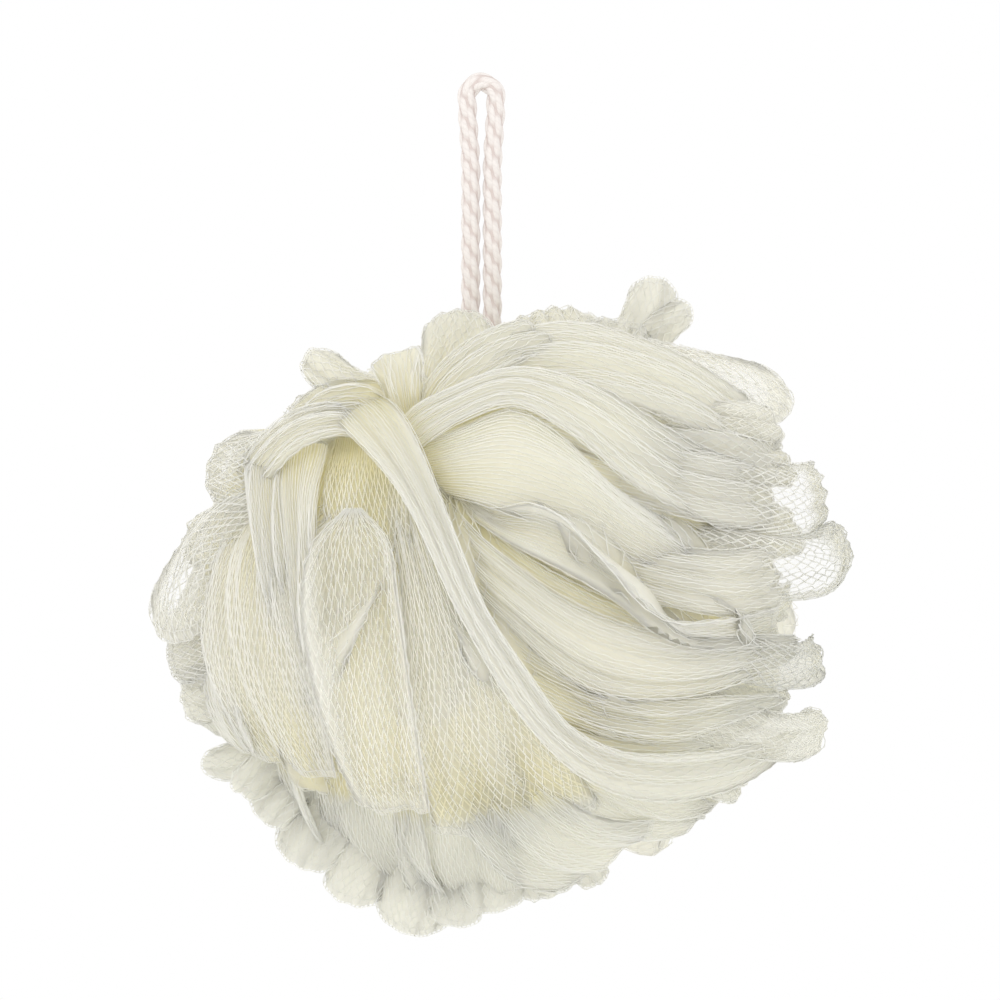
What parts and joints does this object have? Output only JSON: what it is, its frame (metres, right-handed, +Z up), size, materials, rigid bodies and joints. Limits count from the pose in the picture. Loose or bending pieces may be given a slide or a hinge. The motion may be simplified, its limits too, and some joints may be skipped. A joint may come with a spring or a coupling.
{
  "type": "mesh bath pouf",
  "caption": "Round bath pouf of gathered soft netting with overlapping ruffles, hanging from a narrow braided cord loop.",
  "frame": {"origin": "the inner top of the hanging loop, where a hook carries the pouf", "axes": "+Z up along the hanging cord, +X to the right as the gathered side faces the viewer, who looks along +Y"},
  "size_m": [0.1544, 0.1519, 0.1901],
  "materials": {
    "netting": "soft knitted polyethylene net, ivory",
    "cord": "braided cotton-like cord, off-white"
  },
  "bodies": {
    "root": {"netting": "netting", "hanging_cord": "cord", "cord_knot": "cord"}
  },
  "joints": []
}
